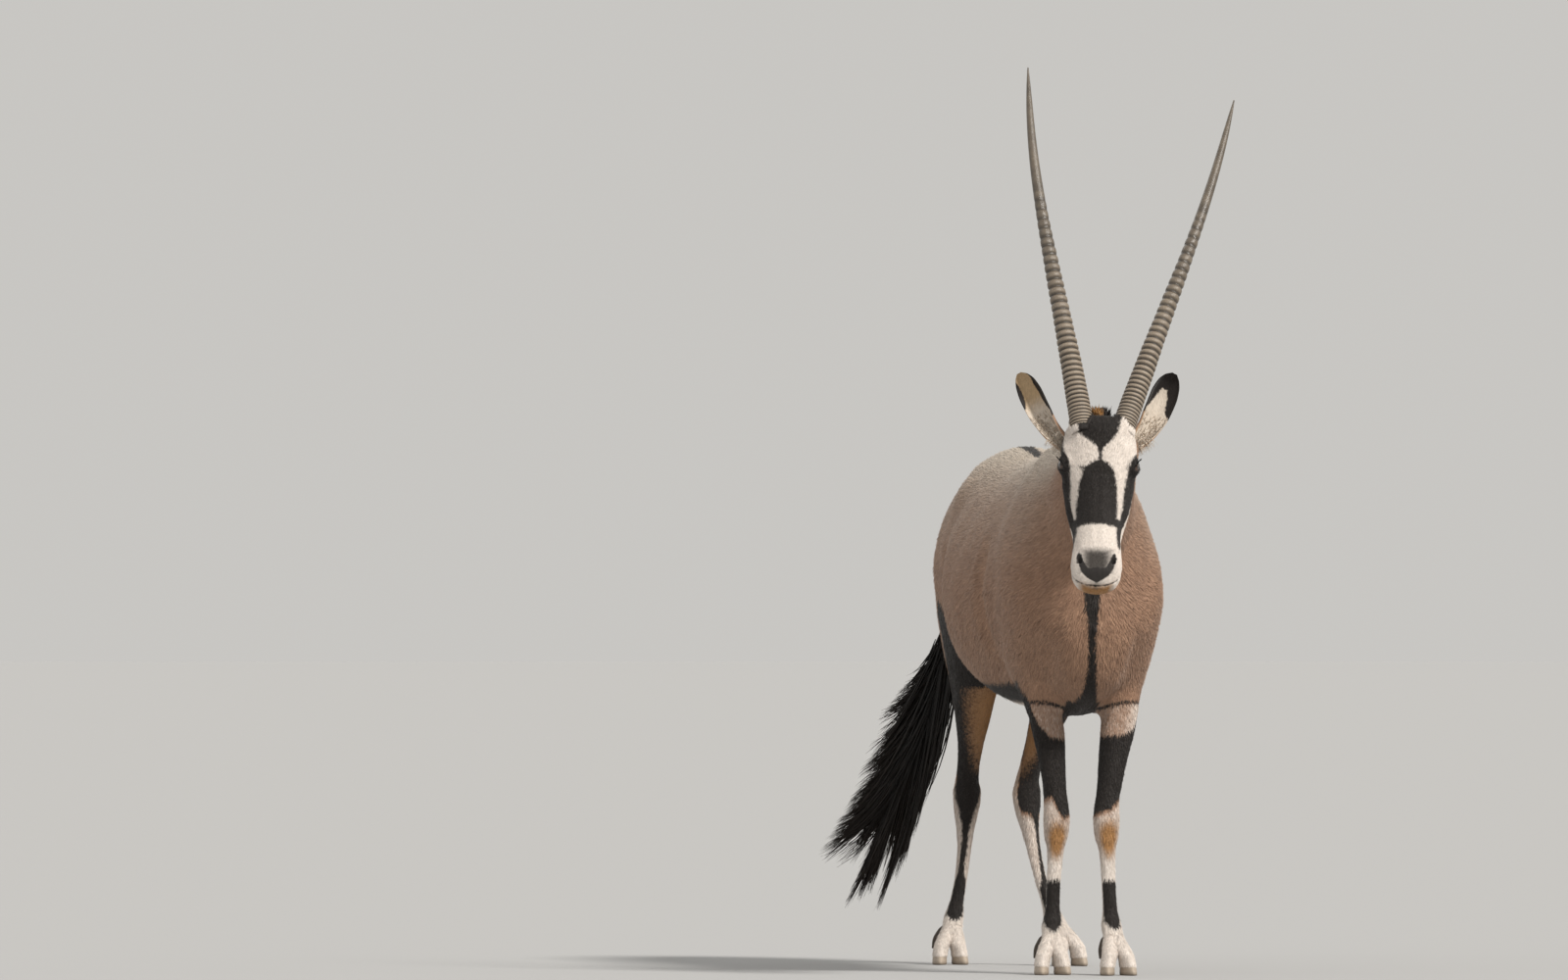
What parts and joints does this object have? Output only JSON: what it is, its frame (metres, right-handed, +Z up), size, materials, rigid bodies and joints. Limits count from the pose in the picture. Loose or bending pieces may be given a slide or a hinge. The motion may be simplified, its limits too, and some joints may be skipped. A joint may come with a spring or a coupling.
{
  "type": "gemsbok",
  "caption": "Life-size gemsbok antelope standing still, long ringed horns swept back, head low and turned, black tail blown aside.",
  "frame": {"origin": "on the ground, under the middle of the box round the animal", "axes": "-Y the way the animal faces, +X its left side, +Z up"},
  "size_m": [0.7624, 1.7578, 2.0276],
  "materials": {
    "coat": "short flat grey-tan hair",
    "pale": "short flat off-white hair",
    "dark": "brown-black hair",
    "ear": "thin skin with fine cream hair and dark margins",
    "horn": "ringed grey-brown keratin, worn smooth towards the tip",
    "hoof": "dusty grey-brown keratin",
    "eye": "wet, nearly black brown"
  },
  "bodies": {
    "root": {"torso": "coat", "neck": "coat", "head": "coat", "eye_left": "eye", "eye_right": "eye", "horn_left": "horn", "horn_right": "horn", "ear_left": "ear", "ear_right": "ear", "foreleg_right_forearm": "dark", "foreleg_right_cannon": "pale", "foreleg_right_pastern": "pale", "foreleg_left_forearm": "dark", "foreleg_left_cannon": "pale", "foreleg_left_pastern": "pale", "hindleg_right_thigh": "dark", "hindleg_right_shank": "dark", "hindleg_right_cannon": "pale", "hindleg_right_pastern": "pale", "hindleg_left_thigh": "dark", "hindleg_left_shank": "dark", "hindleg_left_cannon": "pale", "hindleg_left_pastern": "pale", "foreleg_right_hoof_left": "hoof", "foreleg_right_hoof_right": "hoof", "foreleg_right_dewclaw_left": "hoof", "foreleg_right_dewclaw_right": "hoof", "foreleg_left_hoof_left": "hoof", "foreleg_left_hoof_right": "hoof", "foreleg_left_dewclaw_left": "hoof", "foreleg_left_dewclaw_right": "hoof", "hindleg_right_hoof_left": "hoof", "hindleg_right_hoof_right": "hoof", "hindleg_right_dewclaw_left": "hoof", "hindleg_right_dewclaw_right": "hoof", "hindleg_left_hoof_left": "hoof", "hindleg_left_hoof_right": "hoof", "hindleg_left_dewclaw_left": "hoof", "hindleg_left_dewclaw_right": "hoof", "tail_dock": "dark", "tail_tuft": "dark"}
  },
  "joints": []
}
